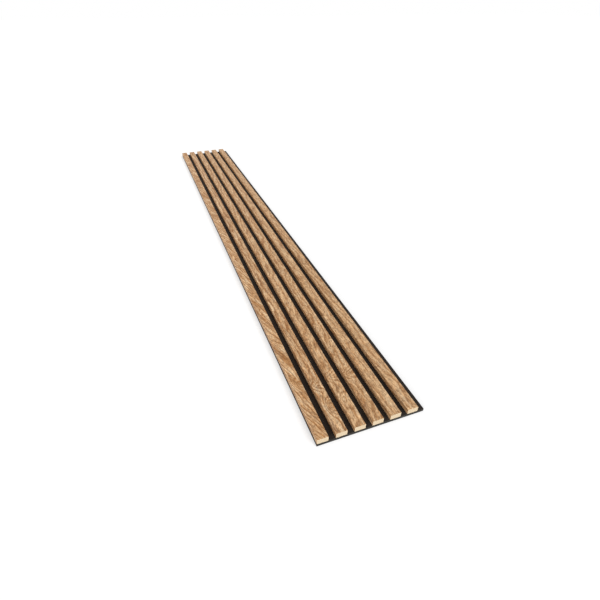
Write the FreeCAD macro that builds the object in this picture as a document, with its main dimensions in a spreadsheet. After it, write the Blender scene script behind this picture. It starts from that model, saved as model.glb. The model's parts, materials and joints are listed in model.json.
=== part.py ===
# Acoustic slat wall panel: oak-wrapped fibreboard slats, stapled to a black felt backing.
# The panel lies on its back. X runs across the slats, Y along them and Z out of the wall.
# The origin is the middle of the felt's back face. All lengths are in millimetres.

import FreeCAD, Part
import Sketcher
import math
import os

SHEET = "Dimensions"

# Driving dimensions: alias, value and meaning.
DRIVING = [
    ("panel_length", 2400.0, "length of the felt and of every slat"),
    ("slat_count", 6.0, "slats side by side"),
    ("slat_width", 30.0, "width of a slat over its wrap"),
    ("slat_height", 15.6, "height of a slat over its wrap"),
    ("slat_gap", 20.0, "open groove between two slats"),
    ("core_arris", 0.6, "rounding of the two long upper edges of a core"),
    ("wrap_thickness", 0.6, "oak wrap round the face and both flanks of a core"),
    ("felt_thickness", 9.0, "pressed polyester felt"),
    ("left_lip", 0.5, "bare felt beside the first slat"),
    ("staple_crown", 12.0, "outside width of a staple"),
    ("wire_width", 1.25, "staple wire, along the slat"),
    ("wire_thickness", 0.9, "staple wire, through its bend"),
    ("point_length", 1.5, "slope of the chisel point on a staple's leg"),
    ("crown_sink", 0.2, "depth of a crown below the felt's back face"),
    ("point_cover", 7.0, "core left above a staple's points"),
    ("wire_clearance", 0.05, "room beside the wire in the felt and the cores"),
    ("end_distance", 75.0, "first and last staple of a slat, from its ends"),
    ("staple_spacing", 250.0, "the most that two staples of a slat stand apart"),
]

# Sizes worked out from the driving dimensions. The felt's right lip fills up the groove
# that the next panel's left lip leaves, so that the grooves stay alike across a joint.
DERIVED = [
    ("slat_pitch", "=slat_width + slat_gap"),
    ("felt_width", "=slat_count * slat_pitch"),
    ("first_slat_x", "=left_lip + slat_width / 2 - felt_width / 2"),
    ("slat_run", "=(slat_count - 1) * slat_pitch"),
    ("core_width", "=slat_width - 2 * wrap_thickness"),
    ("core_height", "=slat_height - wrap_thickness"),
    ("wrap_arris", "=core_arris + wrap_thickness"),
    ("crown_inner_face", "=crown_sink + wire_thickness"),
    ("leg_bite", "=core_height - point_cover"),
    ("leg_tip", "=felt_thickness + leg_bite"),
    ("leg_inner_face", "=staple_crown / 2 - wire_thickness"),
    ("seat_width", "=wire_width + 2 * wire_clearance"),
    ("staple_run", "=panel_length - 2 * end_distance"),
    ("staple_rows", "=ceil(staple_run / staple_spacing - 0.001) + 1"),
    ("first_staple", "=panel_length / 2 - end_distance"),
]


def size(name):
    """The expression that reads one size from the sheet."""
    return f"{SHEET}.{name}"


def make_sheet(doc):
    """Keep the driving dimensions as plain numbers and the derived sizes as formulas."""
    sheet = doc.addObject("Spreadsheet::Sheet", SHEET)
    for row, (alias, number, meaning) in enumerate(DRIVING, 1):
        sheet.set(f"A{row}", alias)
        sheet.set(f"B{row}", str(number))
        sheet.set(f"C{row}", meaning)
        sheet.setAlias(f"B{row}", alias)
    for row, (alias, formula) in enumerate(DERIVED, len(DRIVING) + 1):
        sheet.set(f"A{row}", alias)
        sheet.set(f"B{row}", formula)
        sheet.setAlias(f"B{row}", alias)
    doc.recompute()
    return sheet


def make_body(doc, name):
    """A new body, named and labelled as the piece that it is."""
    body = doc.addObject("PartDesign::Body", name)
    body.Label = name
    return body


def base_feature(body, role):
    """One of the body's own base planes and axes, such as XZ_Plane or Y_Axis."""
    return next(feature for feature in body.Origin.OriginFeatures if feature.Role == role)


def new_sketch(body, name, plane, toward_viewer=None):
    """An empty sketch on a base plane, or set off from it along the plane's normal."""
    sketch = body.newObject("Sketcher::SketchObject", name)
    sketch.AttachmentSupport = [(base_feature(body, plane), "")]
    sketch.MapMode = "FlatFace"
    if toward_viewer:
        sketch.setExpression("AttachmentOffset.Base.z", toward_viewer)
    return sketch


def draw_outline(sketch, corners):
    """Draw a closed outline and tie it to the sheet.

    A corner is two expressions for its place and a third for its radius, or None where it
    is sharp. A level or upright side is held by its distance from an axis, and a sloping
    side by both of its ends.
    """

    def read(expression):
        return float(sketch.evalExpression(expression))

    def hold(direction, line, end, expression):
        if expression == "0":
            axis = -2 if direction == "DistanceX" else -1
            sketch.addConstraint(Sketcher.Constraint("PointOnObject", line, end, axis))
            return
        constraint = Sketcher.Constraint(direction, -1, 1, line, end, read(expression))
        index = sketch.addConstraint(constraint)
        sketch.setExpression(f"Constraints[{index}]", expression)

    spots = [FreeCAD.Vector(read(across), read(up), 0) for across, up, radius in corners]
    radii = [read(radius) if radius else 0.0 for across, up, radius in corners]
    count = len(corners)
    ways = [(spots[(i + 1) % count] - spots[i]).normalize() for i in range(count)]

    lines = []
    for i in range(count):
        following = (i + 1) % count
        start = spots[i] + ways[i] * radii[i]
        end = spots[following] - ways[i] * radii[following]
        lines.append(sketch.addGeometry(Part.LineSegment(start, end), False))

    for i in range(count):
        across, up, radius = corners[i]
        next_across, next_up, _ = corners[(i + 1) % count]
        if across == next_across:
            sketch.addConstraint(Sketcher.Constraint("Vertical", lines[i]))
            hold("DistanceX", lines[i], 1, across)
        elif up == next_up:
            sketch.addConstraint(Sketcher.Constraint("Horizontal", lines[i]))
            hold("DistanceY", lines[i], 1, up)
        else:
            hold("DistanceY", lines[i], 1, up)
            hold("DistanceY", lines[i], 2, next_up)

        if not radius:
            sketch.addConstraint(Sketcher.Constraint("Coincident", lines[i - 1], 2, lines[i], 1))
            continue
        arrive = ways[i - 1]
        leave = ways[i]
        centre = spots[i] + (leave - arrive) * radii[i]
        turns_left = arrive.cross(leave).z > 0
        first_side = arrive if turns_left else leave * -1
        start_angle = math.atan2(first_side.y, first_side.x) - math.pi / 2
        circle = Part.Circle(centre, FreeCAD.Vector(0, 0, 1), radii[i])
        arc_shape = Part.ArcOfCircle(circle, start_angle, start_angle + math.pi / 2)
        arc = sketch.addGeometry(arc_shape, False)
        arrive_end = 1 if turns_left else 2
        leave_end = 2 if turns_left else 1
        sketch.addConstraint(Sketcher.Constraint("Tangent", lines[i - 1], 2, arc, arrive_end))
        sketch.addConstraint(Sketcher.Constraint("Tangent", arc, leave_end, lines[i], 1))
        index = sketch.addConstraint(Sketcher.Constraint("Radius", arc, radii[i]))
        sketch.setExpression(f"Constraints[{index}]", radius)


def symmetric_pad(body, sketch, name, length):
    """Pad a sketch to both sides of its plane."""
    pad = body.newObject("PartDesign::Pad", name)
    pad.Profile = sketch
    pad.Midplane = True
    pad.setExpression("Length", length)
    return pad


def symmetric_pocket(body, sketch, name, length):
    """Cut a sketch out to both sides of its plane."""
    pocket = body.newObject("PartDesign::Pocket", name)
    pocket.Profile = sketch
    pocket.Midplane = True
    pocket.setExpression("Length", length)
    return pocket


def staple_pattern(body, feature, name, across):
    """Repeat a feature at every staple along a slat and, if across, on every slat too."""
    pattern = body.newObject("PartDesign::LinearPattern", name)
    pattern.Originals = [feature]
    pattern.Direction = (base_feature(body, "Y_Axis"), [""])
    pattern.setExpression("Length", size("staple_run"))
    pattern.setExpression("Occurrences", size("staple_rows"))
    if across:
        pattern.Direction2 = (base_feature(body, "X_Axis"), [""])
        pattern.setExpression("Length2", size("slat_run"))
        pattern.setExpression("Occurrences2", size("slat_count"))
    body.Tip = pattern
    return pattern


def require_cut(before, after):
    """Stop if a pocket or its pattern has taken nothing away."""
    if not after.Shape.Volume < before.Shape.Volume:
        raise RuntimeError(f"{after.Label} has cut nothing")


def make_core(doc, number):
    """One fibreboard core: a moulding with two rounded upper edges, slotted by the staples."""
    body = make_body(doc, f"slat_{number}_core")
    half = f"{size('core_width')} / 2"
    top = size("core_height")
    section = new_sketch(body, f"core_{number}_section", "XZ_Plane")
    draw_outline(section, [
        (f"-{half}", "0", None),
        (half, "0", None),
        (half, top, size("core_arris")),
        (f"-{half}", top, size("core_arris")),
    ])
    pad = symmetric_pad(body, section, f"core_{number}_length", size("panel_length"))

    slots = new_sketch(body, f"core_{number}_leg_slots", "XZ_Plane", size("first_staple"))
    inner = f"({size('leg_inner_face')} - {size('wire_clearance')})"
    outer = f"({size('staple_crown')} / 2 + {size('wire_clearance')})"
    depth = f"{size('leg_bite')} + {size('wire_clearance')}"
    draw_outline(slots, [
        (inner, "0", None), (outer, "0", None), (outer, depth, None), (inner, depth, None),
    ])
    draw_outline(slots, [
        (f"-{outer}", "0", None), (f"-{inner}", "0", None),
        (f"-{inner}", depth, None), (f"-{outer}", depth, None),
    ])
    pocket = symmetric_pocket(body, slots, f"core_{number}_slot_pair", size("seat_width"))
    pattern = staple_pattern(body, pocket, f"core_{number}_slot_rows", across=False)
    place_on_felt(body, number)
    doc.recompute()
    require_cut(pad, pocket)
    require_cut(pocket, pattern)
    return body


def make_wrap(doc, number):
    """One oak wrap: a thin channel bent round a core's face and both flanks."""
    body = make_body(doc, f"slat_{number}_wrap")
    outside = f"{size('slat_width')} / 2"
    inside = f"{size('core_width')} / 2"
    face = size("slat_height")
    core_face = size("core_height")
    section = new_sketch(body, f"wrap_{number}_section", "XZ_Plane")
    draw_outline(section, [
        (f"-{outside}", "0", None),
        (f"-{inside}", "0", None),
        (f"-{inside}", core_face, size("core_arris")),
        (inside, core_face, size("core_arris")),
        (inside, "0", None),
        (outside, "0", None),
        (outside, face, size("wrap_arris")),
        (f"-{outside}", face, size("wrap_arris")),
    ])
    symmetric_pad(body, section, f"wrap_{number}_length", size("panel_length"))
    place_on_felt(body, number)
    return body


def place_on_felt(body, number):
    """Stand a slat's piece on the felt, at the slat's place in the row."""
    place = f"{size('first_slat_x')} + {number - 1} * {size('slat_pitch')}"
    body.setExpression("Placement.Base.x", place)
    body.setExpression("Placement.Base.z", size("felt_thickness"))


def make_felt(doc):
    """The felt backing: one board with a seat for every staple pressed through it."""
    body = make_body(doc, "felt_backing")
    half_width = f"{size('felt_width')} / 2"
    half_length = f"{size('panel_length')} / 2"
    sheet_outline = new_sketch(body, "felt_outline", "XY_Plane")
    draw_outline(sheet_outline, [
        (f"-{half_width}", f"-{half_length}", None),
        (half_width, f"-{half_length}", None),
        (half_width, half_length, None),
        (f"-{half_width}", half_length, None),
    ])
    pad = body.newObject("PartDesign::Pad", "felt_board")
    pad.Profile = sheet_outline
    pad.setExpression("Length", size("felt_thickness"))

    # The seat is the staple's own shape with room beside the wire. The crown bears on its
    # floor, the felt that is left between the legs.
    seat = new_sketch(body, "staple_seat_outline", "XZ_Plane", size("first_staple"))
    middle = size("first_slat_x")
    reach = f"({size('staple_crown')} / 2 + {size('wire_clearance')})"
    between = f"({size('leg_inner_face')} - {size('wire_clearance')})"
    floor = size("crown_inner_face")
    through = size("felt_thickness")
    draw_outline(seat, [
        (f"{middle} - {reach}", "0", None),
        (f"{middle} + {reach}", "0", None),
        (f"{middle} + {reach}", through, None),
        (f"{middle} + {between}", through, None),
        (f"{middle} + {between}", floor, None),
        (f"{middle} - {between}", floor, None),
        (f"{middle} - {between}", through, None),
        (f"{middle} - {reach}", through, None),
    ])
    pocket = symmetric_pocket(body, seat, "staple_seat", size("seat_width"))
    pattern = staple_pattern(body, pocket, "staple_seat_rows", across=True)
    doc.recompute()
    require_cut(pad, pocket)
    require_cut(pocket, pattern)
    return body


def make_staples(doc):
    """All staples: flat wire bent sharply twice, chisel-pointed, driven from the felt's back."""
    body = make_body(doc, "staples")
    body.AllowCompound = True
    outline = new_sketch(body, "staple_outline", "XZ_Plane", size("first_staple"))
    outer = f"{size('staple_crown')} / 2"
    inner = size("leg_inner_face")
    crown = size("crown_sink")
    crown_inner = size("crown_inner_face")
    tip = size("leg_tip")
    point = f"{tip} - {size('point_length')}"
    bend = size("wire_thickness")
    draw_outline(outline, [
        (f"-{outer}", crown, bend),
        (outer, crown, bend),
        (outer, tip, None),
        (inner, point, None),
        (inner, crown_inner, None),
        (f"-{inner}", crown_inner, None),
        (f"-{inner}", point, None),
        (f"-{outer}", tip, None),
    ])
    pad = symmetric_pad(body, outline, "staple_wire", size("wire_width"))
    staple_pattern(body, pad, "staple_rows", across=True)
    body.setExpression("Placement.Base.x", size("first_slat_x"))
    return body


def check_and_write(doc, bodies):
    """Stop on any failed object or shape, then write each piece to its own file."""
    for item in doc.Objects:
        if "Invalid" in item.State or "Error" in item.State:
            raise RuntimeError(f"{item.Label} has failed: {item.State}")
    for body in bodies:
        if body.Shape.isNull() or not body.Shape.isValid():
            raise RuntimeError(f"{body.Label} has no valid shape")
    os.makedirs("parts", exist_ok=True)
    for body in bodies:
        body.Shape.exportStep(f"parts/{body.Label}.step")
        print(body.Label, len(body.Shape.Solids), round(body.Shape.Volume, 1))


doc = FreeCAD.newDocument("acoustic_slat_wall_panel")
sheet = make_sheet(doc)
bodies = [make_felt(doc)]
for number in range(1, int(round(sheet.slat_count)) + 1):
    bodies.append(make_core(doc, number))
    bodies.append(make_wrap(doc, number))
bodies.append(make_staples(doc))
doc.recompute()
check_and_write(doc, bodies)
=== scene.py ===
# %% [markdown]
# # An acoustic slat wall panel
# Six slats stand side by side on a black felt board. Each slat is a fibreboard core with a
# thin oak wrap over its face and flanks, and staples hold it from the felt's back. The solid
# pieces come ready from the frame at their real size. This lesson gives each of them its
# finish, makes the felt as a soft piece of its own, and lights the panel in a plain studio.

# %% Load the frame
import json
import math

import bpy
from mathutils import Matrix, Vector

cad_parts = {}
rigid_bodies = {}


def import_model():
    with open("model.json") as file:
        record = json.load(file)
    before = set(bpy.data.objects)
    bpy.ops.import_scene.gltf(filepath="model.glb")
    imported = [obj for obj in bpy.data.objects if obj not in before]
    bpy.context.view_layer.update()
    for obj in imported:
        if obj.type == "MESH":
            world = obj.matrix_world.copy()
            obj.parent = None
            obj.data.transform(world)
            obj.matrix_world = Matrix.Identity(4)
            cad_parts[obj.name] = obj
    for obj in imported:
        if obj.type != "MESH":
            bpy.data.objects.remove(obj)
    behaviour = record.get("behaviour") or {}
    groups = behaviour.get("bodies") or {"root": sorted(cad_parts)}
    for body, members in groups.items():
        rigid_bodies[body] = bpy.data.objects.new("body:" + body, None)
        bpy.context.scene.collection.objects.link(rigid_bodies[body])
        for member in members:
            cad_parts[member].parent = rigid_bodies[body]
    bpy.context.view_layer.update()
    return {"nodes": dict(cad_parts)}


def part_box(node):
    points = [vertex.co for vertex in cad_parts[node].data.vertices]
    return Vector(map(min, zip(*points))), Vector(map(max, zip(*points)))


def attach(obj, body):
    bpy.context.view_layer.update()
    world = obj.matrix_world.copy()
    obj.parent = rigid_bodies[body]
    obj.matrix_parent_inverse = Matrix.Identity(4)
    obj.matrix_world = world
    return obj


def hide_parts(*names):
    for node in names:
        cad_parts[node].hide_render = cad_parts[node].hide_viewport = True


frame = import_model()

# %% [markdown]
# ## Measures
# Sizes could be typed in again, but then they would drift from the solids. Here the sizes of
# the slats and of the felt are read from the frame, so that the finish follows the solids.
# Patterns are described in millimetres, because grain, fibres and wire are known in
# millimetres.

# %% Measures from the frame
MM = 0.001
SLAT_COUNT = sum(1 for name in frame["nodes"] if name.endswith("_wrap"))
felt_low, felt_high = (Vector(corner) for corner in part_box("felt_backing"))
felt_size = felt_high - felt_low
slat_boxes = [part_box(f"slat_{number}_wrap") for number in range(1, SLAT_COUNT + 1)]
slat_centres_mm = [(low[0] + high[0]) / 2 / MM for low, high in slat_boxes]
first_low, first_high = slat_boxes[0]
slat_end = first_high[1]
slat_top = first_high[2]
slat_pitch = slat_boxes[1][0][0] - first_low[0]
print("slats", SLAT_COUNT, "pitch in mm", round(slat_pitch / MM, 2))
print("felt in mm", [round(value / MM, 1) for value in felt_size])

# %% [markdown]
# ## Camera
# The panel lies flat and the camera looks down its length from beyond the near end, a little
# to its left. A long lens from further off would keep the long edges nearly parallel. The far
# end has to look much narrower than the near end, so the lens is short and the camera close.

# %% Camera
# The place is in metres, and the tilt from straight down and the turn are in degrees.
LENS_MM = 24.29
SENSOR_MM = 36.0
CAMERA_PLACE = (-0.38818, -1.72088, 0.85746)
CAMERA_TILT = 53.591
CAMERA_TURN = -20.597

camera_data = bpy.data.cameras.new("camera")
camera_data.lens = LENS_MM
camera_data.sensor_width = SENSOR_MM
camera = bpy.data.objects.new("camera", camera_data)
camera.location = CAMERA_PLACE
camera.rotation_euler = (math.radians(CAMERA_TILT), 0.0, math.radians(CAMERA_TURN))
bpy.context.scene.collection.objects.link(camera)
bpy.context.scene.camera = camera
print("camera at", CAMERA_PLACE)

# %% [markdown]
# ## Colours and nodes
# Every finish here is a chain of nodes. Each node could be made with a line for every setting
# and link, but the chain would get lost among them. So one small function adds a node, sets it
# and joins it to others. Colours are written as the eye reads them on a screen, and one more
# function turns them to the linear light that the nodes work in.

# %% Colours and nodes
# The curve from a screen's colour to linear light is straight up to its bend and a power
# curve above it.
SRGB_BEND = 0.04045
SRGB_SLOPE = 12.92
SRGB_OFFSET = 0.055
SRGB_POWER = 2.4


def colour(code):
    """An sRGB hex code as linear red, green, blue and alpha."""
    linear = []
    for start in (1, 3, 5):
        part = int(code[start:start + 2], 16) / 255
        if part <= SRGB_BEND:
            linear.append(part / SRGB_SLOPE)
        else:
            linear.append(((part + SRGB_OFFSET) / (1 + SRGB_OFFSET)) ** SRGB_POWER)
    return (*linear, 1.0)


def add_node(material, kind, sockets=None, stops=None, **settings):
    """Add a node. A socket takes a value or another node's output; stops colour a ramp."""
    node = material.node_tree.nodes.new(kind)
    for name, value in settings.items():
        setattr(node, name, value)
    for socket, value in (sockets or {}).items():
        if isinstance(value, bpy.types.NodeSocket):
            material.node_tree.links.new(value, node.inputs[socket])
        else:
            node.inputs[socket].default_value = value
    if stops:
        ramp = node.color_ramp
        while len(ramp.elements) < len(stops):
            ramp.elements.new(0.5)
        for element, (position, code) in zip(ramp.elements, stops):
            element.position = position
            element.color = colour(code)
    return node


def new_material(name):
    """An empty node material."""
    material = bpy.data.materials.new(name)
    material.use_nodes = True
    material.node_tree.nodes.clear()
    return material


print("a mid grey is", round(colour("#808080")[0], 3), "in linear light")

# %% [markdown]
# ## Oak: unfolding the wrap
# The wrap is one sheet of oak veneer, bent over the core's face and down both flanks. A
# pattern could be laid on each face by itself, but then the grain would break at the edges.
# Here the place on the folded wrap is turned back to the place on the flat veneer: going
# down a flank counts as going further across the sheet. The grain seldom runs quite true to
# the sheet, so the place across also slides with the place along.

# %% Flat veneer
def unfold_wrap(oak, number, slant):
    """The place on the flat veneer in mm: across the grain, and both ways as a vector."""
    place = add_node(oak, "ShaderNodeTexCoord")
    on_slat = add_node(oak, "ShaderNodeMapping", {
        "Vector": place.outputs["Object"],
        "Location": (-slat_centres_mm[number - 1], 0.0, -slat_top / MM),
        "Scale": (1 / MM, 1 / MM, 1 / MM),
    })
    split = add_node(oak, "ShaderNodeSeparateXYZ", {"Vector": on_slat.outputs[0]})
    side = add_node(oak, "ShaderNodeMath", {0: split.outputs["X"]}, operation="SIGN")
    down = add_node(oak, "ShaderNodeMath", {
        0: side.outputs[0], 1: split.outputs["Z"],
    }, operation="MULTIPLY")
    across = add_node(oak, "ShaderNodeMath", {
        0: split.outputs["X"], 1: down.outputs[0],
    }, operation="SUBTRACT")
    across_grain = add_node(oak, "ShaderNodeMath", {
        0: split.outputs["Y"], 1: slant, 2: across.outputs[0],
    }, operation="MULTIPLY_ADD")
    flat = add_node(oak, "ShaderNodeCombineXYZ", {
        "X": across_grain.outputs[0], "Y": split.outputs["Y"],
    })
    return across_grain.outputs[0], flat.outputs[0]


print("the slats' middle lines in mm", [round(value, 1) for value in slat_centres_mm])

# %% [markdown]
# ## Oak: noises
# Wood is uneven at every size: the tree's rings bulge over hand-wide hills, ripple at a
# finger's width, and are full of fibres and pores as fine as a hair. A wave texture could draw
# the rings straight away, but its bands stay too even. So each kind of unevenness is one noise
# on the flat veneer, longer along the grain than across it.

# %% Noises on the flat veneer
# Each noise has the size of its spots across and along the grain, in mm, and its settings.
# Real fibres and pores are 0.05 to 0.3 mm wide. They are drawn as wider bundles and clusters,
# because they would be lost otherwise. The step keeps the noises of one slat apart.
VENEER_NOISES = {
    "hills": ((40.0, 170.0), {"Detail": 2.0, "Roughness": 0.45, "Distortion": 0.4}),
    "ripples": ((12.0, 30.0), {"Detail": 2.0, "Distortion": 0.8}),
    "patches": ((22.0, 75.0), {"Detail": 3.0, "Roughness": 0.55}),
    "tone": ((10.0, 50.0), {"Detail": 5.0, "Roughness": 0.6}),
    "mottle": ((3.4, 6.5), {"Detail": 3.0, "Roughness": 0.6}),
    "fibres": ((3.4, 26.0), {"Detail": 2.0}),
    "pores": ((2.4, 11.0), {"Detail": 1.0}),
}
NOISE_STEP = 17.0


def veneer_noises(oak, flat, seed):
    """One noise of each kind, from 0 to 1, by name. The seed picks another part of each."""
    noises = {}
    for step, (name, (size_mm, sockets)) in enumerate(VENEER_NOISES.items()):
        spread = add_node(oak, "ShaderNodeMapping", {
            "Vector": flat,
            "Location": (0.0, 0.0, seed + step * NOISE_STEP),
            "Scale": (1 / size_mm[0], 1 / size_mm[1], 1.0),
        })
        noise = add_node(oak, "ShaderNodeTexNoise", {
            "Vector": spread.outputs[0], "Scale": 1.0, **sockets,
        })
        noises[name] = noise.outputs["Fac"]
    return noises


print("noises", list(VENEER_NOISES))

# %% [markdown]
# ## Oak: growth rings
# The knife cuts the log at a low angle, so its rings show as slanting lines, tongues and
# loops. A picture of a veneer could be laid on, but the same figure would come back on each
# slat. So the rings are drawn as the level lines of a height, as on a map. The height rises
# evenly across the grain, which gives straight lines. The hills and ripples bend them, and
# where the figure closes to a loop, a round bump is added.

# %% Figure of each slat
# Each slat has a leaf of veneer of its own, and its seed picks the part of the noises. Then
# come how far the grain slides across for each mm along, the rings to a mm across the grain,
# the rings that the hills and ripples add, how deep the figure's tones go, how strong the
# orange brown patches are, and how light the leaf is beside the others. An eye is its place
# across and along and its half width and half length, in mm from the slat's middle line and
# the panel's middle, and its rings. An eye wider than the slat draws lines right across it.
LEAVES = {
    1: {"seed": 3.1, "slant": 0.33, "rings": 0.10, "hills": 6.0, "ripples": 0.6,
        "depth": 1.0, "patches": 0.75, "light": 1.05,
        "eyes": [(4.0, -1020.0, 30.0, 30.0, 2.0)]},
    2: {"seed": 7.7, "slant": 0.04, "rings": 0.06, "hills": 2.4, "ripples": 0.7,
        "depth": 1.0, "patches": 0.45, "light": 0.98,
        "eyes": [(8.0, -1118.0, 26.0, 50.0, 4.0), (0.0, -1045.0, 60.0, 34.0, 2.4)]},
    3: {"seed": 12.4, "slant": -0.10, "rings": 0.05, "hills": 3.2, "ripples": 1.1,
        "depth": 0.76, "patches": 0.28, "light": 1.0,
        "eyes": [(-4.0, -1112.0, 30.0, 52.0, 2.4), (0.0, -1028.0, 60.0, 38.0, 2.8)]},
    4: {"seed": 18.9, "slant": -0.06, "rings": 0.05, "hills": 4.0, "ripples": 1.3,
        "depth": 0.85, "patches": 0.40, "light": 0.98,
        "eyes": [(0.0, -1034.0, 60.0, 36.0, 3.0)]},
    5: {"seed": 23.3, "slant": 0.05, "rings": 0.05, "hills": 4.0, "ripples": 0.8,
        "depth": 0.65, "patches": 0.16, "light": 0.96, "eyes": []},
    6: {"seed": 31.6, "slant": 0.08, "rings": 0.06, "hills": 4.0, "ripples": 0.7,
        "depth": 0.65, "patches": 0.16, "light": 0.95, "eyes": []},
}


def growth_rings(oak, leaf, across_grain, flat, noises):
    """The place within a ring, from 0 at its porous start to 1 at its dense end."""
    slopes = [
        (across_grain, leaf["rings"]),
        (noises["hills"], leaf["hills"]),
        (noises["ripples"], leaf["ripples"]),
    ]
    for eye_across, eye_along, half_width, half_length, rings in leaf["eyes"]:
        slid_across = eye_across + eye_along * leaf["slant"]
        around = add_node(oak, "ShaderNodeMapping", {
            "Vector": flat,
            "Location": (-slid_across / half_width, -eye_along / half_length, 0.0),
            "Scale": (1 / half_width, 1 / half_length, 1.0),
        })
        bump = add_node(oak, "ShaderNodeTexGradient", {"Vector": around.outputs[0]},
                        gradient_type="QUADRATIC_SPHERE")
        slopes.append((bump.outputs["Fac"], rings))
    # The height is the sum of all slopes, each as many rings high as it says.
    height = 0.0
    for value, rings in slopes:
        total = add_node(oak, "ShaderNodeMath", {0: value, 1: rings, 2: height},
                         operation="MULTIPLY_ADD")
        height = total.outputs[0]
    return add_node(oak, "ShaderNodeMath", {0: height}, operation="FRACT").outputs[0]


print("eyes in the figure", sum(len(leaf["eyes"]) for leaf in LEAVES.values()))

# %% [markdown]
# ## Oak: tones
# Oak starts each ring with a band of wide pores, which looks dark and dull, and ends it with
# dense, light wood. Over the rings lie streaks from orange brown to grey beige, orange brown
# patches, the fibres and a fine mottle. One ramp over one noise could stand for all of it, but
# every mark would then have the same size. So each kind of mark is laid over the last.

# %% Tones of the wood
# The figure share is how much of the figure comes from the rings, and the rest comes from the
# streaks. Honey is the plain wood that a faint figure fades to. A patch starts where its noise
# falls below the first level, and is full at the second. Most of a noise lies within its
# spread, and a shade is the pair of factors that its darkest and lightest spots get. The
# colour sockets of a Mix node are given by number, because it has a set of sockets of the same
# names for each kind of value.
FIGURE_SHARE = 0.64
HONEY = "#caa072"
PATCH_COLOUR = "#9c6935"
PATCH_LEVELS = (0.56, 0.34)
NOISE_SPREAD = (0.30, 0.70)
FIBRE_SHADE = (0.84, 1.21)
MOTTLE_SHADE = (0.66, 1.34)
MIX_A, MIX_B, MIX_OUT = 6, 7, 2


def wood_tones(oak, leaf, ring, noises):
    """The colour of the wood between its pores."""
    ring_colour = add_node(oak, "ShaderNodeValToRGB", {"Fac": ring}, stops=[
        (0.0, "#7b4e28"),
        (0.12, "#9c6c3e"),
        (0.35, "#d1a97c"),
        (0.80, "#e3c399"),
        (0.94, "#ba8c5c"),
        (1.0, "#7b4e28"),
    ])
    streak_colour = add_node(oak, "ShaderNodeValToRGB", {"Fac": noises["tone"]}, stops=[
        (0.34, "#885428"),
        (0.46, "#bf8b59"),
        (0.54, "#d2aa80"),
        (0.66, "#e6d2b2"),
    ])
    figure = add_node(oak, "ShaderNodeMix", {
        "Factor": FIGURE_SHARE,
        MIX_A: streak_colour.outputs["Color"],
        MIX_B: ring_colour.outputs["Color"],
    }, data_type="RGBA")
    body = add_node(oak, "ShaderNodeMix", {
        "Factor": leaf["depth"], MIX_A: colour(HONEY), MIX_B: figure.outputs[MIX_OUT],
    }, data_type="RGBA")
    patch = add_node(oak, "ShaderNodeMapRange", {
        "Value": noises["patches"], "From Min": PATCH_LEVELS[0], "From Max": PATCH_LEVELS[1],
        "To Max": leaf["patches"],
    })
    body = add_node(oak, "ShaderNodeMix", {
        "Factor": patch.outputs[0], MIX_A: body.outputs[MIX_OUT], MIX_B: colour(PATCH_COLOUR),
    }, data_type="RGBA")
    fibre_shade = [factor * leaf["light"] for factor in FIBRE_SHADE]
    for name, (darkest, lightest) in (("fibres", fibre_shade), ("mottle", MOTTLE_SHADE)):
        shade = add_node(oak, "ShaderNodeMapRange", {
            "Value": noises[name], "From Min": NOISE_SPREAD[0], "From Max": NOISE_SPREAD[1],
            "To Min": darkest, "To Max": lightest,
        })
        body = add_node(oak, "ShaderNodeMix", {
            "Factor": 1.0, MIX_A: body.outputs[MIX_OUT], MIX_B: shade.outputs[0],
        }, data_type="RGBA", blend_type="MULTIPLY")
    return body.outputs[MIX_OUT]


print("fibres shade the wood by", FIBRE_SHADE, "and the mottle by", MOTTLE_SHADE)

# %% [markdown]
# ## Oak: pores
# Pores are vessels that the knife has cut open: short dark hollows along the grain, most of
# them in the early wood. They could be dark marks only, but the thin lacquer doesn't fill them
# and they catch the light. So one noise sets both their colour and a bump.

# %% Pores of the wood
# A pore starts where its noise passes a level, and is full an edge above it. Its share is how
# much of the wood's colour it covers.
PORE_LEVEL_EARLY = 0.46
PORE_LEVEL_LATE = 0.58
PORE_EDGE = 0.08
PORE_SHARE = 0.52
PORE_COLOUR = "#754a26"
PORE_DEPTH_MM = 0.08
PORE_BUMP = 0.4


def wood_pores(oak, ring, noises, wood):
    """The colour of the wood with its pores, and the normal of their hollows."""
    # Pores crowd in the early wood, so the level that a noise has to pass is lower there.
    level = add_node(oak, "ShaderNodeMapRange", {
        "Value": ring, "To Min": PORE_LEVEL_EARLY, "To Max": PORE_LEVEL_LATE,
    })
    full = add_node(oak, "ShaderNodeMath", {0: level.outputs[0], 1: PORE_EDGE}, operation="ADD")
    pore = add_node(oak, "ShaderNodeMapRange", {
        "Value": noises["pores"], "From Min": level.outputs[0], "From Max": full.outputs[0],
        "To Max": PORE_SHARE,
    })
    pored = add_node(oak, "ShaderNodeMix", {
        "Factor": pore.outputs[0], MIX_A: wood, MIX_B: colour(PORE_COLOUR),
    }, data_type="RGBA")
    hollows = add_node(oak, "ShaderNodeBump", {
        "Height": pore.outputs[0], "Strength": PORE_BUMP, "Distance": PORE_DEPTH_MM * MM,
    }, invert=True)
    return pored.outputs[MIX_OUT], hollows.outputs[0]


print("pores are", PORE_DEPTH_MM, "mm deep")

# %% [markdown]
# ## Oak: lacquer and sawn ends
# The lacquer is matt, so it shows only a broad, weak shine. At both ends the saw has bared the
# wrap's edge, which is pale with dust. The edge could get a material of its own, but then its
# faces would have to be picked. Here the place along the slat tells them apart, and each wrap
# keeps one material.

# %% Oak veneer
# The sawn skin is how far from the very end a point still counts as sawn.
LACQUER_ROUGHNESS = 0.55
LACQUER_SHINE = 0.35
SAWN_OAK = "#dcc29c"
SAWN_SKIN_MM = 0.05


def dress(piece, *materials):
    """Give a piece these materials in place of all that it has."""
    piece.data.materials.clear()
    for material in materials:
        piece.data.materials.append(material)


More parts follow.
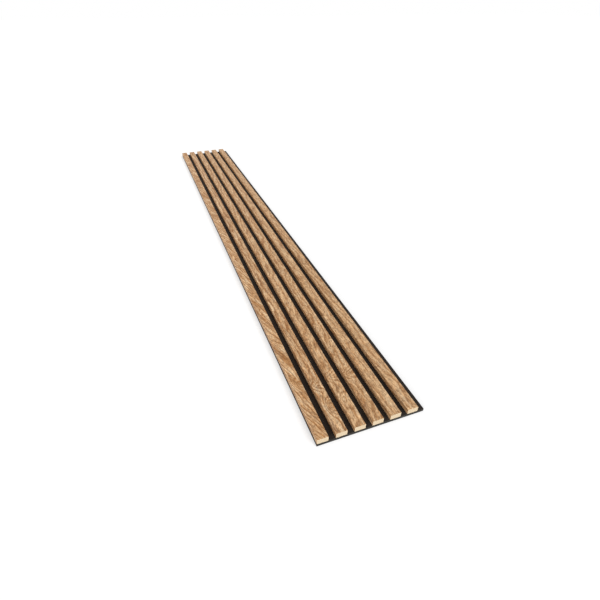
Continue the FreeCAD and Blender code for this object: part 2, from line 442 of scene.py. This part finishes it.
def oak_veneer(number):
    """Crown-cut oak veneer, matt lacquered: honey brown, with darker rings full of pores."""
    leaf = LEAVES[number]
    oak = new_material(f"oak veneer, matt lacquered, slat {number}")
    across_grain, flat = unfold_wrap(oak, number, leaf["slant"])
    noises = veneer_noises(oak, flat, leaf["seed"])
    ring = growth_rings(oak, leaf, across_grain, flat, noises)
    wood = wood_tones(oak, leaf, ring, noises)
    pored, hollows = wood_pores(oak, ring, noises, wood)

    place = add_node(oak, "ShaderNodeTexCoord")
    split = add_node(oak, "ShaderNodeSeparateXYZ", {"Vector": place.outputs["Object"]})
    from_middle = add_node(oak, "ShaderNodeMath", {0: split.outputs["Y"]}, operation="ABSOLUTE")
    at_end = add_node(oak, "ShaderNodeMath", {
        0: from_middle.outputs[0], 1: slat_end - SAWN_SKIN_MM * MM,
    }, operation="GREATER_THAN")
    finish = add_node(oak, "ShaderNodeMix", {
        "Factor": at_end.outputs[0], MIX_A: pored, MIX_B: colour(SAWN_OAK),
    }, data_type="RGBA")
    lacquer = add_node(oak, "ShaderNodeBsdfPrincipled", {
        "Base Color": finish.outputs[MIX_OUT],
        "Roughness": LACQUER_ROUGHNESS,
        "Specular IOR Level": LACQUER_SHINE,
        "Normal": hollows,
    })
    add_node(oak, "ShaderNodeOutputMaterial", {"Surface": lacquer.outputs[0]})
    return oak


for number in range(1, SLAT_COUNT + 1):
    dress(bpy.data.objects[f"slat_{number}_wrap"], oak_veneer(number))
print("oak on", SLAT_COUNT, "wraps")

# %% [markdown]
# ## Fibreboard
# The cores show only at their sawn ends. Fibreboard is pale wood fibre pressed flat with
# resin, so the saw leaves a fine matt face. Its layers are denser near the board's two skins.
# One colour would look like card, so a noise pressed flat draws the layers and a fine one
# draws the fibre bundles.

# %% Medium-density fibreboard
# Real fibre bundles are about 0.1 mm thick. They are drawn coarser, because they would not
# show.
LAYER_MM = (6.0, 6.0, 1.2)
BUNDLE_MM = 0.5
BUNDLE_SHADE = (0.93, 1.05)
SAW_DEPTH_MM = 0.05
SAW_BUMP = 0.3
SAWN_ROUGHNESS = 0.85


def fibreboard():
    """Medium-density fibreboard, sawn: pale, matt and finely speckled."""
    board = new_material("medium-density fibreboard, sawn")
    place = add_node(board, "ShaderNodeTexCoord")
    pressed = add_node(board, "ShaderNodeMapping", {
        "Vector": place.outputs["Object"],
        "Scale": [1 / (size * MM) for size in LAYER_MM],
    })
    layer = add_node(board, "ShaderNodeTexNoise", {
        "Vector": pressed.outputs[0], "Scale": 1.0, "Detail": 3.0,
    })
    layer_colour = add_node(board, "ShaderNodeValToRGB", {"Fac": layer.outputs["Fac"]}, stops=[
        (0.35, "#d5bd9a"),
        (0.65, "#e5d3b5"),
    ])
    bundle = add_node(board, "ShaderNodeTexNoise", {
        "Vector": place.outputs["Object"], "Scale": 1 / (BUNDLE_MM * MM), "Detail": 2.0,
    })
    shade = add_node(board, "ShaderNodeMapRange", {
        "Value": bundle.outputs["Fac"],
        "From Min": NOISE_SPREAD[0],
        "From Max": NOISE_SPREAD[1],
        "To Min": BUNDLE_SHADE[0],
        "To Max": BUNDLE_SHADE[1],
    })
    body = add_node(board, "ShaderNodeMix", {
        "Factor": 1.0, MIX_A: layer_colour.outputs["Color"], MIX_B: shade.outputs[0],
    }, data_type="RGBA", blend_type="MULTIPLY")
    sawn = add_node(board, "ShaderNodeBump", {
        "Height": bundle.outputs["Fac"], "Strength": SAW_BUMP, "Distance": SAW_DEPTH_MM * MM,
    })
    surface = add_node(board, "ShaderNodeBsdfPrincipled", {
        "Base Color": body.outputs[MIX_OUT],
        "Roughness": SAWN_ROUGHNESS,
        "Normal": sawn.outputs[0],
    })
    add_node(board, "ShaderNodeOutputMaterial", {"Surface": surface.outputs[0]})
    return board


board_material = fibreboard()
for number in range(1, SLAT_COUNT + 1):
    dress(bpy.data.objects[f"slat_{number}_core"], board_material)
print("fibreboard on", SLAT_COUNT, "cores")

# %% [markdown]
# ## Staples
# The staples are galvanised flat wire. A plain grey metal would look like polished steel.
# Zinc freezes in blotches that are a little lighter or darker, and the lighter ones are the
# shinier ones. So one noise sets both the tint and the roughness of the metal.

# %% Galvanised steel wire
ZINC_BLOTCH_MM = 1.5
ZINC_ROUGHNESS = (0.50, 0.30)


def galvanised_wire():
    """Galvanised steel wire: dull silver with soft blotches."""
    zinc = new_material("galvanised steel wire")
    place = add_node(zinc, "ShaderNodeTexCoord")
    blotch = add_node(zinc, "ShaderNodeTexNoise", {
        "Vector": place.outputs["Object"], "Scale": 1 / (ZINC_BLOTCH_MM * MM), "Detail": 2.0,
    })
    tint = add_node(zinc, "ShaderNodeValToRGB", {"Fac": blotch.outputs["Fac"]}, stops=[
        (0.3, "#a9aaa6"),
        (0.7, "#c9cac6"),
    ])
    dull = add_node(zinc, "ShaderNodeMapRange", {
        "Value": blotch.outputs["Fac"],
        "To Min": ZINC_ROUGHNESS[0],
        "To Max": ZINC_ROUGHNESS[1],
    })
    surface = add_node(zinc, "ShaderNodeBsdfPrincipled", {
        "Base Color": tint.outputs["Color"], "Metallic": 1.0, "Roughness": dull.outputs[0],
    })
    add_node(zinc, "ShaderNodeOutputMaterial", {"Surface": surface.outputs[0]})
    return zinc


dress(bpy.data.objects["staples"], galvanised_wire())
print("zinc on the staples")

# %% [markdown]
# ## Felt board: shape
# The backing is polyester fibre, needled and pressed into a board, with square cut edges that
# fray a little round. A cloth simulation would add nothing, because the board lies flat and
# is stiff. So a grid as wide and long as the felt is extruded to its thickness, and its edges
# are rounded with a bevel. An operator works on all that is selected, so everything is
# deselected before a new piece is made.

# %% Felt board
FELT_GRID_MM = 5.0
FELT_EDGE_MM = 0.6
FELT_EDGE_STEPS = 3


def select_only(piece=None):
    """Deselect everything and then select and activate one piece."""
    bpy.ops.object.select_all(action="DESELECT")
    bpy.context.view_layer.objects.active = piece
    if piece:
        piece.select_set(True)


select_only()
bpy.ops.mesh.primitive_grid_add(
    x_subdivisions=round(felt_size.x / (FELT_GRID_MM * MM)),
    y_subdivisions=round(felt_size.y / (FELT_GRID_MM * MM)),
    size=1.0,
)
felt = bpy.context.object
felt.name = "felt_board"
bpy.ops.object.mode_set(mode="EDIT")
bpy.ops.mesh.select_all(action="SELECT")
bpy.ops.transform.resize(value=(felt_size.x, felt_size.y, 1.0))
bpy.ops.transform.translate(value=(felt_low + felt_high - Vector((0, 0, felt_size.z))) / 2)
bpy.ops.mesh.extrude_region_move(TRANSFORM_OT_translate={"value": (0.0, 0.0, felt_size.z)})
bpy.ops.mesh.select_all(action="SELECT")
bpy.ops.mesh.normals_make_consistent(inside=False)
bpy.ops.object.mode_set(mode="OBJECT")

edge_round = felt.modifiers.new("frayed edges", "BEVEL")
edge_round.width = FELT_EDGE_MM * MM
edge_round.segments = FELT_EDGE_STEPS
edge_round.limit_method = "ANGLE"
bpy.ops.object.modifier_apply(modifier=edge_round.name)
print("felt faces", len(felt.data.polygons))

# %% [markdown]
# ## Felt board: grooves of the staples
# Each staple's crown has pressed a groove into the felt's back, and without the grooves the
# felt would hide the crowns. They could be pushed in vertex by vertex, but the felt's grid is
# coarser than a crown is wide, so they are cut with a boolean. One cutter has the size of a
# crown with a little room round it, and two arrays repeat it across and along, where the
# staples are.

# %% Grooves of the staples
# A crown has a length across the slat, a width along it and a thickness. The room is how much
# longer and wider than the crown its groove is, and the sink is how far the crown lies below
# the felt's back. The cutter's middle is on the back, so it is twice as high as the groove is
# deep.
CROWN_MM = (12.0, 1.25, 0.9)
CROWN_ROOM_MM = 0.25
CROWN_SINK_MM = 0.2
STAPLE_SPACING_MM = 250.0

staple_low, staple_high = (Vector(corner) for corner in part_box("staples"))
staple_run = staple_high.y - staple_low.y - CROWN_MM[1] * MM
rows = 1 + round(staple_run / (STAPLE_SPACING_MM * MM))
first_staple = Vector((slat_centres_mm[0] * MM, staple_low.y + CROWN_MM[1] * MM / 2, 0.0))

select_only()
bpy.ops.mesh.primitive_cube_add(size=1.0, location=first_staple)
cutter = bpy.context.object
cutter.name = "staple_cutter"
cutter.scale = (
    (CROWN_MM[0] + CROWN_ROOM_MM) * MM,
    (CROWN_MM[1] + CROWN_ROOM_MM) * MM,
    2 * (CROWN_MM[2] + CROWN_SINK_MM) * MM,
)
bpy.ops.object.transform_apply(location=False, rotation=False, scale=True)
for count, step in (
    (SLAT_COUNT, (slat_pitch, 0.0, 0.0)),
    (rows, (0.0, staple_run / (rows - 1), 0.0)),
):
    repeat = cutter.modifiers.new("repeat", "ARRAY")
    repeat.use_relative_offset = False
    repeat.use_constant_offset = True
    repeat.constant_offset_displace = step
    repeat.count = count
    bpy.ops.object.modifier_apply(modifier=repeat.name)

select_only(felt)
groove = felt.modifiers.new("staple grooves", "BOOLEAN")
groove.operation = "DIFFERENCE"
groove.object = cutter
groove.solver = "EXACT"
bpy.ops.object.modifier_apply(modifier=groove.name)
bpy.data.objects.remove(cutter, do_unlink=True)
print("grooves", rows * SLAT_COUNT, "felt faces", len(felt.data.polygons))

# %% [markdown]
# ## Felt board: skin
# Pressed felt is flat but never smooth. Its lumps are a few millimetres wide and a fraction
# of one high. They could be left to a bump in the material, but then the outline would stay
# ruler straight, so they are pushed into the mesh with a soft noise.

# %% Uneven skin
# An edge whose faces meet at more than the sharp angle, in degrees, isn't smoothed.
SHARP_ANGLE = 40.0
FELT_UNEVEN_MM = 0.18
FELT_LUMP_MM = 5.0

lumps = bpy.data.textures.new("felt lumps", "CLOUDS")
lumps.noise_scale = FELT_LUMP_MM * MM
uneven = felt.modifiers.new("uneven skin", "DISPLACE")
uneven.texture = lumps
uneven.texture_coords = "LOCAL"
uneven.strength = FELT_UNEVEN_MM * MM
uneven.mid_level = 0.5
bpy.ops.object.modifier_apply(modifier=uneven.name)
bpy.ops.object.shade_smooth_by_angle(angle=math.radians(SHARP_ANGLE))
print("felt vertices", len(felt.data.vertices))

# %% [markdown]
# ## Felt board: finish
# The fibres are dyed black, but loose ones catch the light, so the felt looks like very dark
# warm grey with paler clumps. Real strands could be grown on it, but pressed felt has no pile
# that would show. So two noises are multiplied, one for the clumps and one for the hair, and
# the hair also sets the bump. A little sheen stands for the fibres that stand up. The ends
# were sawn together with the slats. They get the same felt in lighter tones, as painted light
# for the light that falls on the near end from the front.

# %% Needled felt
# Single fibres are about 0.03 mm thick. They are drawn as tufts, because they would not show.
# The tones go with the levels: deep between the tufts, on the skin and on loose fibre. A face
# at an end counts as sawn when its normal points along the panel by the end facing or more.
CLUMP_MM = 3.0
HAIR_MM = 0.35
NAP_MM = 0.25
NAP_BUMP = 0.8
FELT_ROUGHNESS = 0.95
FELT_SHINE = 0.2
FELT_SHEEN = 0.08
FELT_SHEEN_ROUGHNESS = 0.5
FELT_LEVELS = (0.12, 0.30, 0.45)
# The ends' tones are lighter than the skin's: painted light for the light that falls on the
# near end from the front.
FELT_TONES = {
    "pressed skin": ("#191512", "#29221d", "#44392f"),
    "sawn end with painted light": ("#1f1d1a", "#34312c", "#504b44"),
}
END_FACING = 0.7


def needled_felt(place_name):
    """Black needled polyester felt: dull and fibrous, with a faint bloom of loose fibre."""
    fleece = new_material(f"needled polyester felt, black, {place_name}")
    place = add_node(fleece, "ShaderNodeTexCoord")
    clump = add_node(fleece, "ShaderNodeTexNoise", {
        "Vector": place.outputs["Object"], "Scale": 1 / (CLUMP_MM * MM), "Detail": 3.0,
        "Distortion": 1.5,
    })
    hair = add_node(fleece, "ShaderNodeTexNoise", {
        "Vector": place.outputs["Object"], "Scale": 1 / (HAIR_MM * MM), "Detail": 3.0,
        "Distortion": 2.5,
    })
    both = add_node(fleece, "ShaderNodeMath", {
        0: clump.outputs["Fac"], 1: hair.outputs["Fac"],
    }, operation="MULTIPLY")
    tint = add_node(fleece, "ShaderNodeValToRGB", {"Fac": both.outputs[0]},
                    stops=list(zip(FELT_LEVELS, FELT_TONES[place_name])))
    nap = add_node(fleece, "ShaderNodeBump", {
        "Height": hair.outputs["Fac"], "Strength": NAP_BUMP, "Distance": NAP_MM * MM,
    })
    surface = add_node(fleece, "ShaderNodeBsdfPrincipled", {
        "Base Color": tint.outputs["Color"],
        "Roughness": FELT_ROUGHNESS,
        "Specular IOR Level": FELT_SHINE,
        "Sheen Weight": FELT_SHEEN,
        "Sheen Roughness": FELT_SHEEN_ROUGHNESS,
        "Normal": nap.outputs[0],
    })
    add_node(fleece, "ShaderNodeOutputMaterial", {"Surface": surface.outputs[0]})
    return fleece


dress(felt, *(needled_felt(place_name) for place_name in FELT_TONES))
# Faces at both ends get the lighter felt: painted light for the light from the front.
edge_start = felt_high.y - FELT_EDGE_MM * MM
for face in felt.data.polygons:
    if abs(face.normal.y) > END_FACING and abs(face.center.y) > edge_start:
        face.material_index = 1
print("faces on the sawn ends", sum(face.material_index for face in felt.data.polygons))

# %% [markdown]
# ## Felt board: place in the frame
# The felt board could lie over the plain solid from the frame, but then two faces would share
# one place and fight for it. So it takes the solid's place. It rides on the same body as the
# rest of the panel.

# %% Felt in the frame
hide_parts("felt_backing")
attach(felt, "root")
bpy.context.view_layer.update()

# %% [markdown]
# ## Floor
# The floor is one big sheet of pale paper. It could be made white by more light, but that
# would wash out the oak. So it has a plain pale colour that keeps the panel's shadow, and to
# the camera and to mirrors it also glows a little, up to white.

# %% Floor
# The size is in metres, and the glow is the strength of the light that the paper gives off.
FLOOR_SIZE = 60.0
FLOOR_DROP_MM = 0.5
FLOOR_COLOUR = "#cbcbcb"
FLOOR_GLOW = 0.455
WHITE = "#ffffff"


def seen_directly(material):
    """1 for rays from the camera and from mirror-like or clear surfaces, else 0."""
    path = add_node(material, "ShaderNodeLightPath")
    bright = add_node(material, "ShaderNodeMath", {
        0: path.outputs["Is Camera Ray"], 1: path.outputs["Is Glossy Ray"],
    }, operation="MAXIMUM")
    return add_node(material, "ShaderNodeMath", {
        0: bright.outputs[0], 1: path.outputs["Is Transmission Ray"],
    }, operation="MAXIMUM").outputs[0]


def studio_paper():
    """Pale studio paper: matt, and glowing up to white where it is seen directly."""
    paper = new_material("pale studio paper, matt")
    strength = add_node(paper, "ShaderNodeMath", {
        0: seen_directly(paper), 1: FLOOR_GLOW,
    }, operation="MULTIPLY")
    glow = add_node(paper, "ShaderNodeEmission", {
        "Color": colour(WHITE), "Strength": strength.outputs[0],
    })
    matt = add_node(paper, "ShaderNodeBsdfDiffuse", {"Color": colour(FLOOR_COLOUR)})
    both = add_node(paper, "ShaderNodeAddShader", {0: matt.outputs[0], 1: glow.outputs[0]})
    add_node(paper, "ShaderNodeOutputMaterial", {"Surface": both.outputs[0]})
    return paper


select_only()
floor_height = felt_low.z - FLOOR_DROP_MM * MM
bpy.ops.mesh.primitive_plane_add(size=FLOOR_SIZE, location=(0.0, 0.0, floor_height))
floor = bpy.context.object
floor.name = "studio_floor"
dress(floor, studio_paper())
print("floor at", round(floor_height, 5))

# %% [markdown]
# ## Light
# About half of the light comes from a pale world, as in a white tent. The world alone would
# leave the panel flat and without a shadow, and one lamp would leave the grooves too dark. So
# two suns with wide discs stand for soft boxes: a key from the front and right, which gives
# the shadow at the left, and a low fill from the front and left, which reaches the slats' left
# flanks in the grooves but not the felt between them. Together they light an upward face at a
# plain level.

# %% Lamps and world
# A lamp has its strength, the width of its disc in degrees and the way from the panel to it.
WORLD_LIGHT = 0.53
LAMPS = {
    "soft key": {"light": 1.60, "disc": 25.0, "toward": (0.29, -0.72, 0.63)},
    "soft fill": {"light": 1.20, "disc": 25.0, "toward": (-0.70, -0.58, 0.41)},
}

upward_light = WORLD_LIGHT
for name, lamp in LAMPS.items():
    toward = Vector(lamp["toward"]).normalized()
    data = bpy.data.lights.new(name, "SUN")
    data.energy = lamp["light"]
    data.angle = math.radians(lamp["disc"])
    sun = bpy.data.objects.new(name, data)
    sun.rotation_euler = toward.to_track_quat("Z", "Y").to_euler()
    bpy.context.scene.collection.objects.link(sun)
    upward_light += lamp["light"] * toward.z / math.pi

world = bpy.data.worlds.new("pale tent")
bpy.context.scene.world = world
world.use_nodes = True
world.node_tree.nodes.clear()
strength = add_node(world, "ShaderNodeMapRange", {
    "Value": seen_directly(world), "To Min": WORLD_LIGHT, "To Max": 1.0,
})
background = add_node(world, "ShaderNodeBackground", {
    "Color": colour(WHITE), "Strength": strength.outputs[0],
})
add_node(world, "ShaderNodeOutputWorld", {"Surface": background.outputs[0]})
bpy.context.scene.view_settings.view_transform = "Standard"
print("light on an upward face", round(upward_light, 2))
